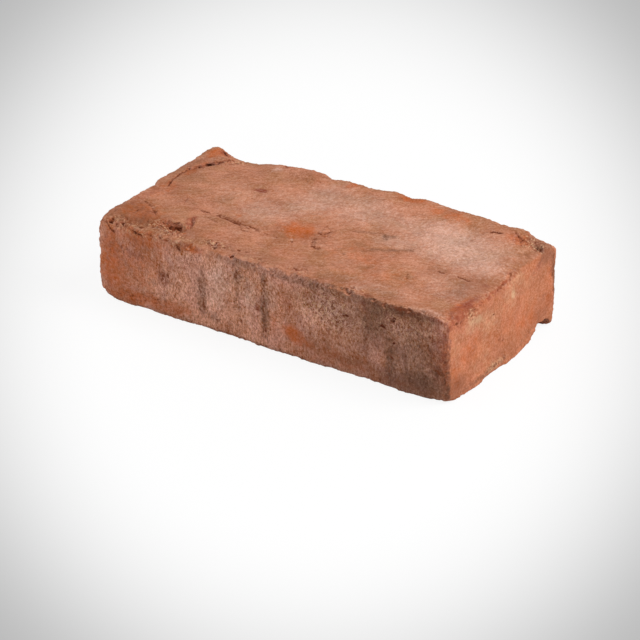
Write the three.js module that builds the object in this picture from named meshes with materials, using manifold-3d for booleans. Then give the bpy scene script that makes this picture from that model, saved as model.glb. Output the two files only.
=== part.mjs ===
// A hand-made clay brick, nominal 9 x 4 3/8 x 2 in, thrown in a mould box, struck off and fired
// in a clamp. It is one solid with no frog, holes or layers.
//
// Millimetres. X runs along the stretcher, Y from the front stretcher face to the back one, and
// Z up from the flat bed that the brick lies on. The origin is under the middle of the brick.
//
// The form is made in this order: a box with rounded arrises, six faces that each take their
// shape from the four wavering arrises round them (a Coons patch), a crown and a slump over the
// whole, and last the torn, chipped and folded places and the flat bed, which are cut.
import * as THREE from "three";
import { mergeVertices } from "three/addons/utils/BufferGeometryUtils.js";
import Module from "manifold-3d";

const wasm = await Module();
wasm.setup();

// Driving dimensions
const LENGTH = 228.6; // 9 in
const WIDTH = 113;
const HEIGHT = 50.8; // 2 in
const ARRIS_RADIUS = 3;
const ARRIS_RADIUS_CHANGE = 1; // how far the radius wanders either way along an arris
const ARRIS_REACH = 24; // how far in from an arris its waver is felt on the faces
const TOP_CROWN = 1.5; // how far the struck top stands up in the middle
const FACE_BULGE = 0.6; // how far each stretcher face stands out in the middle
const END_BULGE = 0.4;
const SLUMP = 0.3; // height of the gentle waves that slumping wet clay leaves
const BED_TRIM = 0.9; // how much of the wavering underside the flat bed takes off
const CELLS = { x: 58, y: 30, z: 13 };
const CELL_CROWDING = 0.35; // how much closer the grid lines lie near an arris

const HALF = new THREE.Vector3(LENGTH / 2, WIDTH / 2, HEIGHT / 2);
const TOP = HEIGHT - BED_TRIM; // the struck top at its arrises, above the bed

// How far each corner stands from the plain box's corner, along X, Y and Z. The key says which
// corner: left or right, front or back, bottom or top.
const CORNERS = {
  left_front_bottom: [0.6, 0.4, 1.9],
  right_front_bottom: [-0.6, 1.4, 2.4],
  left_back_bottom: [1.5, -2, 1],
  right_back_bottom: [1, 0, 1],
  left_front_top: [-0.6, 0.6, -2.6],
  right_front_top: [-0.2, 0.5, -1.8],
  left_back_top: [-1.0, 1.2, -1.6],
  right_back_top: [1.3, 0.6, 0],
};

// The waver of each arris between its corners. A station is [place along the arris, offset,
// offset], and the two offsets go along the axes that the arris doesn't run along, in the order
// X, Y, Z. So on an arris along X they are Y and Z.
const ARRISES = [
  {
    along: "x",
    ends: ["left_back_top", "right_back_top"],
    stations: [
      [-108, 0.6, 1.0],
      [-101, -2.4, 0],
      [-88, -3.8, -1.2],
      [-78, -2.2, -1.2],
      [-70, 0.2, 0],
      [-54, 2.0, 1.5],
      [-38, 2.2, 1.5],
      [-30, 0.6, 0.2],
      [-24, 1.8, 0.6],
      [-18, 2.6, 1.0],
      [-8, 1.8, 0.8],
      [3, 3.2, 1.6],
      [12, 4.6, 2.6],
      [20, 3.2, 1.7],
      [29, 4.4, 2.5],
      [50, 2.8, 1.7],
      [66, 3.4, 1.7],
      [76, 3, 1.5],
      [84, 2.4, 1.2],
      [92, 3.0, 1.7],
      [103, 1.0, -1.0],
    ],
  },
  {
    along: "x",
    ends: ["left_front_top", "right_front_top"],
    stations: [
      [-96, 0.4, -1.6],
      [-75, 0, -0.8],
      [-52, -0.5, -0.6],
      [-22, 0.3, -0.2],
      [0, -0.4, 0.6],
      [22, 0.2, 1.0],
      [40, -0.4, 0.9],
      [70, 0, 0.4],
      [90, 0.3, 0.5],
      [101, 0.2, 1.5],
      [108, 0, 0.2],
    ],
  },
  {
    along: "x",
    ends: ["left_front_bottom", "right_front_bottom"],
    stations: [
      [-104, -0.1, 1.0],
      [-98, -0.1, 0],
      [-84, 0.8, 0],
      [-66, 0.3, 0],
      [-42, 1.0, 0],
      [-24, 1.4, 0.2],
      [-14, 0.4, 0.9],
      [-6, -0.2, 0.2],
      [12, 0.6, 0],
      [30, -0.4, 0],
      [44, 1.8, 0],
      [52, 0.9, 0],
      [64, 1.6, 0],
      [76, 0.9, 0],
      [96, 0.6, 0.2],
      [106, 1.6, 1.1],
    ],
  },
  {
    along: "x",
    ends: ["left_back_bottom", "right_back_bottom"],
    stations: [
      [-92, -1.0, 0.2],
      [-60, 0.4, 0],
      [-20, 1.0, 0],
      [24, 0.5, 0],
      [60, 1.3, 0],
      [96, 0.2, 0.3],
    ],
  },
  {
    along: "y",
    ends: ["left_front_top", "left_back_top"],
    stations: [
      [-50, -0.6, -0.9],
      [-43, -0.8, 0.4],
      [-32, -0.2, -0.5],
      [-23, -0.9, 0],
      [-10, 0.4, -0.3],
      [6, -0.8, 0.4],
      [18, -0.3, 0.1],
      [26, -0.8, 0.4],
      [32, -0.4, -0.4],
      [44, -1.0, 0.2],
    ],
  },
  {
    along: "y",
    ends: ["right_front_top", "right_back_top"],
    stations: [
      [-44, 0.4, -0.2],
      [-34, 1.0, -0.8],
      [-18, 0.9, -0.7],
      [-2, 1.2, -0.8],
      [8, 0.2, 0.2],
      [24, 1.0, -0.9],
      [38, 0.2, -0.4],
      [46, -0.3, -0.8],
    ],
  },
  {
    along: "y",
    ends: ["left_front_bottom", "left_back_bottom"],
    stations: [
      [-36, -0.4, 0.2],
      [-10, -1.2, 0],
      [18, -0.8, 0],
      [40, 0, 0.3],
    ],
  },
  {
    along: "y",
    ends: ["right_front_bottom", "right_back_bottom"],
    stations: [
      [-50, 0.4, 0.3],
      [-40, 1.6, 0],
      [-28, 2.6, 0],
      [-18, 1.8, 0],
      [-12, 2.2, 0],
      [-7, 1.8, 0],
      [0, 3.6, 0],
      [14, 3.4, 0],
      [26, 1.8, 0],
      [46, 0.6, 0],
    ],
  },
  {
    along: "z",
    ends: ["left_front_bottom", "left_front_top"],
    stations: [
      [-14, -0.8, 0.2],
      [0, -0.3, 0.3],
      [12, -0.8, 0.2],
    ],
  },
  {
    along: "z",
    ends: ["right_front_bottom", "right_front_top"],
    stations: [
      [-10, 0.2, 0],
      [4, -0.2, 0.2],
    ],
  },
  {
    along: "z",
    ends: ["left_back_bottom", "left_back_top"],
    stations: [
      [-8, 0.2, -0.4],
      [8, -0.4, -0.8],
    ],
  },
  {
    along: "z",
    ends: ["right_back_bottom", "right_back_top"],
    stations: [
      [-12, 1.4, 0.6],
      [-2, 1.8, 0.4],
      [8, 1.4, 0.2],
    ],
  },
];

// Shallow hollows pressed or dragged into the faces while the clay was wet: the middle, the
// radius and the depth, in the direction that the face looks.
const HOLLOWS = [
  { at: [-60, -6, HALF.z], radius: 24, depth: 0.7 },
  { at: [-8, -26, HALF.z], radius: 18, depth: 0.5 },
  { at: [34, 6, HALF.z], radius: 16, depth: 0.5 },
  { at: [78, 30, HALF.z], radius: 22, depth: 0.6 },
  { at: [-40, -HALF.y, 4], radius: 20, depth: 0.6 },
  { at: [58, -HALF.y, 12], radius: 22, depth: 0.7 },
  { at: [HALF.x, 20, 6], radius: 18, depth: 0.6 },
  { at: [HALF.x, -30, -10], radius: 14, depth: 0.5 },
  { at: [-HALF.x, 10, -4], radius: 20, depth: 0.6 },
  { at: [20, HALF.y, 0], radius: 26, depth: 0.7 },
];

const AXES = ["x", "y", "z"];
const SIDES = { x: ["left", "right"], y: ["front", "back"], z: ["bottom", "top"] };

// An arris's two offsets as a smooth curve through its stations, with its corners at the ends.
function trackOf(arris) {
  const reach = HALF[arris.along];
  const others = AXES.filter((axis) => axis !== arris.along);
  const cornerOffsets = (name) => others.map((axis) => CORNERS[name][AXES.indexOf(axis)]);
  const [first, last] = arris.ends;
  const stations = [
    [-reach, ...cornerOffsets(first)],
    ...arris.stations,
    [reach, ...cornerOffsets(last)],
  ];
  return new THREE.CubicInterpolant(
    stations.map((station) => station[0]),
    stations.flatMap((station) => station.slice(1)),
    others.length,
  );
}

const tracks = new Map();
for (const arris of ARRISES) tracks.set(arris.ends.join(" "), trackOf(arris));

// An arris's offset along one axis, at a place along the arris.
function arrisOffset(first, last, along, axis, place) {
  const others = AXES.filter((name) => name !== along);
  return tracks.get(`${first} ${last}`).evaluate(place)[others.indexOf(axis)];
}

// 1 at an arris, falling smoothly to 0 at ARRIS_REACH from it.
function nearness(distance) {
  const share = Math.min(distance / ARRIS_REACH, 1);
  return (1 - share * share) ** 2;
}

// How far the face on the given side of an axis stands out along that axis, at a point of it:
// the two pairs of opposite arrises, less the corners that both pairs count.
function faceOffset(axis, side, point) {
  const [u, v] = AXES.filter((name) => name !== axis);
  const cornerName = (sideU, sideV) => {
    const named = { [axis]: side, [u]: sideU, [v]: sideV };
    return AXES.map((name) => SIDES[name][named[name]]).join("_");
  };
  const weight = (name, end) => nearness(HALF[name] + (end ? -1 : 1) * point[name]);
  let offset = 0;
  for (const end of [0, 1]) {
    offset +=
      weight(v, end) * arrisOffset(cornerName(0, end), cornerName(1, end), u, axis, point[u]);
    offset +=
      weight(u, end) * arrisOffset(cornerName(end, 0), cornerName(end, 1), v, axis, point[v]);
    for (const other of [0, 1])
      offset -=
        weight(u, end) * weight(v, other) * CORNERS[cornerName(end, other)][AXES.indexOf(axis)];
  }
  return offset;
}

// A smooth rise to 1 in the middle of a face, from 0 at its arrises.
function dome(first, second) {
  return (1 - first * first) * (1 - second * second);
}

// Gentle waves, of three sizes that don't repeat together.
function slump({ x, y, z }) {
  return new THREE.Vector3(
    Math.sin(y / 9 + 0.8) * Math.cos(z / 11),
    Math.sin(x / 11 + 0.4) * Math.cos(z / 9 + 0.6) + 0.5 * Math.sin(x / 5.5 - z / 8),
    Math.sin(x / 19 + 2) * Math.cos(y / 13 - x / 41) + 0.4 * Math.sin(y / 6 + 2 * Math.sin(x / 23)),
  ).multiplyScalar(SLUMP);
}

// Moves a point of the plain box to its place on the brick.
function shaped(point) {
  const radius =
    ARRIS_RADIUS +
    ARRIS_RADIUS_CHANGE * Math.sin(point.x / 14 + point.y / 19 + point.z / 8) * Math.cos(point.x / 37);
  const inset = HALF.clone().subScalar(radius);
  const core = point.clone().clamp(inset.clone().negate(), inset);
  const outward = point.clone().sub(core).normalize();
  const share = point.clone().divide(HALF);
  const moved = core.addScaledVector(outward, radius);

  for (const axis of AXES) {
    const far = (1 + share[axis]) / 2;
    moved[axis] += far * faceOffset(axis, 1, point) + (1 - far) * faceOffset(axis, 0, point);
  }
  moved.x += END_BULGE * share.x * dome(share.y, share.z);
  moved.y += FACE_BULGE * share.y * dome(share.x, share.z);
  moved.z += (TOP_CROWN * (1 + share.z) * dome(share.x, share.y)) / 2;
  moved.add(slump(point));
  for (const { at, radius: spread, depth } of HOLLOWS) {
    const away = point.distanceTo(new THREE.Vector3(...at)) / spread;
    if (away < 1) moved.addScaledVector(outward, -depth * (1 - away * away) ** 2);
  }
  return moved;
}

// Grid lines crowd towards the arrises, where the form turns.
function crowded(share) {
  return share + (CELL_CROWDING * Math.sin(Math.PI * share)) / Math.PI;
}

function brickBody() {
  const box = new THREE.BoxGeometry(LENGTH, WIDTH, HEIGHT, CELLS.x, CELLS.y, CELLS.z);
  const places = box.attributes.position;
  const point = new THREE.Vector3();
  for (let i = 0; i < places.count; i++) {
    point.fromBufferAttribute(places, i);
    for (const axis of AXES) point[axis] = HALF[axis] * crowded(point[axis] / HALF[axis]);
    places.setXYZ(i, ...shaped(point));
  }
  return box.translate(0, 0, HALF.z - BED_TRIM);
}

// A three.js geometry as a manifold-3d solid.
function solid(geometry) {
  const plain = geometry.clone().deleteAttribute("normal").deleteAttribute("uv");
  const merged = mergeVertices(plain, 1e-4);
  return new wasm.Manifold(
    new wasm.Mesh({
      numProp: 3,
      vertProperties: merged.attributes.position.array,
      triVerts: new Uint32Array(merged.index.array),
    }),
  );
}

// A torn or broken-out place: a lump that is cut away. Its surface is uneven, as broken clay is.
function lump({ at, size, turn = 0, tilt = 0, rough = 0.12 }) {
  const ball = new THREE.IcosahedronGeometry(1, 3);
  const places = ball.attributes.position;
  const point = new THREE.Vector3();
  for (let i = 0; i < places.count; i++) {
    point.fromBufferAttribute(places, i);
    const wander = Math.sin(5 * point.x + at[0]) * Math.sin(4 * point.y + at[1]);
    point.multiplyScalar(1 + rough * (wander + Math.sin(7 * point.z + 3 * point.x)));
    places.setXYZ(i, ...point);
  }
  ball.scale(...size).rotateX(tilt).rotateZ(turn).translate(...at);
  return solid(ball);
}

// A solid through a row of rings, which all have the same number of corners.
function loft(rings) {
  const corners = rings[0].length;
  const last = (rings.length - 1) * corners;
  const index = [];
  for (let k = 1; k < corners - 1; k++) {
    index.push(0, k, k + 1);
    index.push(last, last + k + 1, last + k);
  }
  for (let ring = 1; ring < rings.length; ring++)
    for (let k = 0; k < corners; k++) {
      const [a, b] = [(ring - 1) * corners + k, (ring - 1) * corners + ((k + 1) % corners)];
      index.push(a, a + corners, b, b, a + corners, b + corners);
    }
  const skin = new THREE.BufferGeometry();
  skin.setAttribute("position", new THREE.Float32BufferAttribute(rings.flat(2), 3));
  return solid(skin.setIndex(index));
}

// A slit along a path over the top. Each stop is [x, y, half width, depth]. Its section is a
// wedge, and the wedge's foot lies `lean` times its depth to the right of the path.
function slit(stops, lean) {
  const above = 6;
  const rings = stops.map(([x, y, half, depth], i) => {
    const before = stops[Math.max(i - 1, 0)];
    const after = stops[Math.min(i + 1, stops.length - 1)];
    const across = new THREE.Vector2(after[1] - before[1], before[0] - after[0]).normalize();
    const corner = (offset, z) => [x + across.x * offset, y + across.y * offset, z];
    return [corner(half, TOP + above), corner(-half, TOP + above), corner(lean * depth, TOP - depth)];
  });
  return loft(rings);
}

// The fold at the left end, where a tongue of clay was turned over and never closed up. Each
// stop, from the back arris to the front, is [x, y] on the fold's path, the gap's half width, its
// depth, and how far the tongue stands above the top.
const FOLD = [
  [-88.5, 49, 0.8, 3, -2.5],
  [-91, 45, 1, 4, 0.5],
  [-94, 38, 1.2, 5, 0.9],
  [-98.8, 31.5, 1.9, 6.5, 1.3],
  [-101.8, 26, 1.9, 6, 1.2],
  [-104.6, 20.5, 1.4, 5, 0.9],
  [-104.4, 14, 0.9, 3, 0.6],
  [-105.2, 7, 1.1, 3.2, 0.5],
  [-104.8, 1, 1, 3, 0.3],
  [-102.5, -6, 0.6, 1.6, -1.5],
];
const FOLD_LEAN = 0.75;
const LIP_SETBACK = 1.3; // the lip ends this far short of the path, over the leaning slit
const LIP_THICKNESS = 2;
const TONGUE_ROOT = 7; // how deep below the top the tongue is rooted in the body
const TONGUE_OUTER = -HALF.x - 0.2; // where the tongue runs out at the left end face

// The tongue, as a slab that stands up along the fold and sinks into the end face. The slit is
// cut after it, and leans under it.
function tongue() {
  return loft(
    FOLD.map(([x, y, , , rise]) => {
      const lip = x - LIP_SETBACK;
      return [
        [lip, y, TOP - LIP_THICKNESS],
        [lip - LIP_THICKNESS, y, TOP - TONGUE_ROOT],
        [TONGUE_OUTER + 3, y, TOP - TONGUE_ROOT],
        [TONGUE_OUTER + 0.6, y, TOP - TONGUE_ROOT / 2],
        [TONGUE_OUTER + 1.6, y, TOP + 0.8 * rise - 1],
        [(lip + TONGUE_OUTER) / 2, y, TOP + rise + 0.3],
        [lip - 1, y, TOP + rise],
        [lip, y, TOP + rise - 1],
      ];
    }),
  );
}

// A flake that has lifted along the broken corner at the right end of the back arris.
const FLAKE = [
  [93, 58, 0.5, 1.5],
  [97, 51, 0.8, 2.5],
  [103, 47, 1, 3],
  [109.5, 44, 2, 3.5],
  [114, 43, 1.2, 3],
  [118, 42, 0.8, 2.5],
];
const FLAKE_LEAN = -0.4;

const TEARS = [
  // the torn pit near the left end of the front arris, with its arm
  { at: [-72.3, -42.6, TOP + 1], size: [8.5, 4.2, 4.6], turn: 0.15, rough: 0.16 },
  { at: [-66.3, -44.6, TOP + 0.4], size: [5, 4, 4], turn: 0.5, rough: 0.1 },
  { at: [-65, -35.6, TOP + 1], size: [1.8, 8, 2.8], turn: 0.45, rough: 0.1 },
  // the crumbled corner beyond the lifted flake, and the pit in the middle of the flake's edge
  { at: [114, 58, TOP + 1], size: [9, 5, 4], turn: -0.4, rough: 0.18 },
  { at: [109, 45.5, TOP + 0.6], size: [3.8, 1.9, 2.6], turn: -0.5, rough: 0.16 },
  // chips off the front arris and its left corner
  { at: [-107.5, -53.5, TOP - 0.3], size: [3.5, 2.6, 3.4], turn: 0.3 },
  { at: [-90, -57, TOP - 1.8], size: [3.2, 2.2, 1.8] },
  { at: [-40, -51.5, TOP + 1.5], size: [7, 3.4, 3], turn: 0.05, rough: 0.16 },
  { at: [-24, -56, TOP + 0.8], size: [3, 3, 3] },
  { at: [50, -56, TOP + 1.6], size: [5, 3.5, 3.4] },
  { at: [80, -57.5, TOP - 8], size: [1.8, 2.4, 1.6] },
  // nicks in the upright arris at the back of the right end
  { at: [116, 57, 24], size: [2.6, 2.6, 2.4], rough: 0.16 },
  { at: [116, 57, 15], size: [2, 2.4, 1.8], rough: 0.16 },
  // the broken foot at the back of the right end, and the chipped foot at the left front corner
  { at: [115, 38, 0], size: [8, 9, 6], turn: 0.1, rough: 0.14 },
  { at: [114, 47, 2], size: [8, 6, 4.2], tilt: -0.3 },
  { at: [-116, -56.5, -0.5], size: [11, 7, 7.5], turn: -0.7 },
];

function brick() {
  let body = solid(brickBody()).add(tongue());
  body = body.subtract(slit(FOLD, FOLD_LEAN)).subtract(slit(FLAKE, FLAKE_LEAN));
  for (const tear of TEARS) body = body.subtract(lump(tear));
  const deep = 20;
  const ground = new THREE.BoxGeometry(2 * LENGTH, 2 * WIDTH, deep).translate(0, 0, -deep / 2);
  body = body.subtract(solid(ground));

  const { vertProperties, triVerts } = body.getMesh();
  const geometry = new THREE.BufferGeometry();
  geometry.setAttribute("position", new THREE.Float32BufferAttribute(vertProperties, 3));
  geometry.setIndex(new THREE.Uint32BufferAttribute(triVerts, 1));
  geometry.computeBoundingBox();
  const middle = geometry.boundingBox.getCenter(new THREE.Vector3());
  geometry.translate(-middle.x, -middle.y, 0).computeVertexNormals();
  return geometry;
}

const firedClay = new THREE.MeshStandardMaterial({
  name: "fired_clay",
  color: 0xb4785c,
  roughness: 0.9,
  metalness: 0,
});

const mesh = new THREE.Mesh(brick(), firedClay);
mesh.name = "brick";
const group = new THREE.Group();
group.add(mesh);

export default group;
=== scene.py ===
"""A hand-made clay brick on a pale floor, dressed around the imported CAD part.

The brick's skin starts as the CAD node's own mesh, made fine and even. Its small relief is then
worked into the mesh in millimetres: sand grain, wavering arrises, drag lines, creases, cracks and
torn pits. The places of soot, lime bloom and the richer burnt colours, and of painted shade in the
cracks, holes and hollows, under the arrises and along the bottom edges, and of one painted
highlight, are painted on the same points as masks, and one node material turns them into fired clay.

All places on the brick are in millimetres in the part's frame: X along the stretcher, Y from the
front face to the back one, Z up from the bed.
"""

import itertools
import math

import bmesh
import bpy
import numpy as np
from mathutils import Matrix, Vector


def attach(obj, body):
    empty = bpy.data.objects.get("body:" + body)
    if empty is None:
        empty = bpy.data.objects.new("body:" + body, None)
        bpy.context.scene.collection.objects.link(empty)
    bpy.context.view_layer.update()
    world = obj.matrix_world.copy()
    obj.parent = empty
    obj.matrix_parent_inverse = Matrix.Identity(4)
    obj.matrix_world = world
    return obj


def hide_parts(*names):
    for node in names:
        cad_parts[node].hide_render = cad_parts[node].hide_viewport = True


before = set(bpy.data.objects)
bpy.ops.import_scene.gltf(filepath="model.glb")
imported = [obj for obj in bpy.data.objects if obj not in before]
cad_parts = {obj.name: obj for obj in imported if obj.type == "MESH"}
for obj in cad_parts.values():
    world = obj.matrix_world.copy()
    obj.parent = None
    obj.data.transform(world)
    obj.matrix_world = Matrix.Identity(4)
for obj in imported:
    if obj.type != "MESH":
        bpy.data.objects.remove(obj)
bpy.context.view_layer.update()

MM = 0.001

# The camera looks at a point of the floor under the brick.
CAMERA_AIM_MM = (3.8, -13.4, -0.4)
CAMERA_DISTANCE_MM = 1556
CAMERA_AZIMUTH = 33.45  # degrees, round from square on to the front face towards the right end
CAMERA_ELEVATION = 28.28
CAMERA_LENS = 157.5  # mm, on Blender's 36 mm sensor
WIPING_ANGLE = 33  # degrees from X towards Y in which the wet top was wiped off
GREY_SHARE = 0.6  # how much of the finest grain is plain grey, not the clay's own colour
GLOW_CONE = (9.5, 4.15)  # degrees off the view's axis where the floor is greyest and whitest
GREY = 0.5  # how bright the floor and the room are outside that

FLOOR_HALF = 6.0  # m, from the middle to each edge
FLOOR_GREY = (0.84, 0.84, 0.84, 1)  # the floor's own colour, which lights the brick from below
FLOOR_GLOW = 0.9  # how much of the white that the camera sees is free of shadow

# Square lamps aimed at the brick: name, place and side in metres, power in watts.
LAMPS = [
    ("key", (1.3, 0.5, 1.7), 1.2, 32.5),
    ("fill", (-1.4, -1.6, 1.2), 1.6, 5),
]

VOXEL_MM = 0.56  # size of the faces that the relief is worked into
SMOOTHING_ROUNDS = 7  # takes the CAD facets out of the skin
UNDERSIDE_MM = 0.5  # how far up from the bed the plain underside goes
UNDERSIDE_SHARE = 0.1  # the share of its faces that the plain underside keeps
MOST_FACES = 194000  # triangles left once the relief is in
MARKS_WAVER_MM = 0.7  # how far the edges of the marks wander
NOISE_GAIN = 1.6  # brings gradient noise to about -1 to 1
LAYER_SHIFT = 17.3  # sets the layers of fractal noise apart, so that their cells don't line up

TOWARDS_CAMERA = Vector((
    math.sin(math.radians(CAMERA_AZIMUTH)) * math.cos(math.radians(CAMERA_ELEVATION)),
    -math.cos(math.radians(CAMERA_AZIMUTH)) * math.cos(math.radians(CAMERA_ELEVATION)),
    math.sin(math.radians(CAMERA_ELEVATION)),
))
CAMERA_PLACE_MM = Vector(CAMERA_AIM_MM) + TOWARDS_CAMERA * CAMERA_DISTANCE_MM


# --------------------------------------------------------------------------- noise


def gradient_noise(points, seed):
    """Smooth noise, about -1 to 1, at an (n, 3) array of points. Its cells are 1 across."""
    random = np.random.default_rng(seed)
    shuffled = random.permutation(256)
    slopes = random.normal(size=(256, 3))
    slopes /= np.linalg.norm(slopes, axis=1, keepdims=True)
    cell = np.floor(points).astype(int)
    part = points - cell
    fade = part**3 * (part * (part * 6 - 15) + 10)
    total = np.zeros(len(points))
    for corner in itertools.product((0, 1), repeat=3):
        where = (cell + corner) & 255
        pick = shuffled[(shuffled[(shuffled[where[:, 0]] + where[:, 1]) & 255] + where[:, 2]) & 255]
        weight = np.where(corner, fade, 1 - fade).prod(axis=1)
        total += weight * ((part - corner) * slopes[pick]).sum(axis=1)
    return NOISE_GAIN * total


def fractal(points, size, octaves, seed):
    """Layers of noise. size is the largest layer's cell in mm: a number, or one for each axis."""
    total, height = np.zeros(len(points)), 1.0
    for octave in range(octaves):
        layer = points / size * 2**octave + LAYER_SHIFT * octave
        total += height * gradient_noise(layer, seed + octave)
        height *= 0.5
    return total


def smooth(low, high, value):
    """0 below low, 1 above high, and a smooth rise between them. low may be the higher."""
    share = np.clip((value - low) / (high - low), 0, 1)
    return share * share * (3 - 2 * share)


# --------------------------------------------------------------------------- skin


def new_object(name, data):
    made = bpy.data.objects.new(name, data)
    bpy.context.scene.collection.objects.link(made)
    return made


def applied(piece):
    """Gives the piece the mesh that its modifiers make, and takes the modifiers off."""
    graph = bpy.context.evaluated_depsgraph_get()
    made = bpy.data.meshes.new_from_object(piece.evaluated_get(graph))
    piece.modifiers.clear()
    piece.data = made


def read_points(mesh, normals=False):
    """The places of the mesh's points in metres, or their normals, as an (n, 3) array."""
    found = np.empty(len(mesh.vertices) * 3, np.float32)
    source = mesh.vertex_normals if normals else mesh.vertices
    source.foreach_get("vector" if normals else "co", found)
    return found.reshape(-1, 3).astype(float)


def thin_out(piece, share, group=None):
    """Leaves the piece a share of its faces. The others come out of a vertex group, if named."""
    thin = piece.modifiers.new("fewer faces", "DECIMATE")
    thin.ratio = share
    if group:
        thin.vertex_group = group
    applied(piece)


def drop_slivers(mesh):
    """Takes out faces that thinning has left folded on each other and joined to nothing else."""
    body = bmesh.new()
    body.from_mesh(mesh)
    loose = [point for point in body.verts if len(point.link_faces) < 3]
    bmesh.ops.delete(body, geom=loose, context="VERTS")
    body.to_mesh(mesh)
    body.free()


def fine_skin(node):
    """A copy of the CAD node with small even faces, and wide ones under the brick."""
    skin = new_object("brick_clay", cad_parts[node].data.copy())
    skin.data.materials.clear()
    remesh = skin.modifiers.new("even faces", "REMESH")
    remesh.mode = "VOXEL"
    remesh.voxel_size = VOXEL_MM * MM
    applied(skin)

    relax = skin.modifiers.new("no facets", "SMOOTH")
    relax.factor = 0.5
    relax.iterations = SMOOTHING_ROUNDS
    applied(skin)

    height = read_points(skin.data)[:, 2] / MM
    under = skin.vertex_groups.new(name="under")
    under.add(np.flatnonzero(height < UNDERSIDE_MM).tolist(), 1.0, "REPLACE")
    kept_above = (height >= UNDERSIDE_MM).mean()
    thin_out(skin, kept_above + (1 - kept_above) * UNDERSIDE_SHARE, under.name)
    skin.vertex_groups.clear()
    return skin


skin = fine_skin("brick")


# --------------------------------------------------------------------------- relief and masks

# Each face as (the axis it looks along, which way, the axis of its first coordinate, the axis of
# its second). Every mark below is placed by those two coordinates, in mm.
FACES = {
    "top": (2, 1, 0, 1),
    "front": (1, -1, 0, 2),
    "back": (1, 1, 0, 2),
    "right": (0, 1, 1, 2),
    "left": (0, -1, 1, 2),
}
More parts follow.
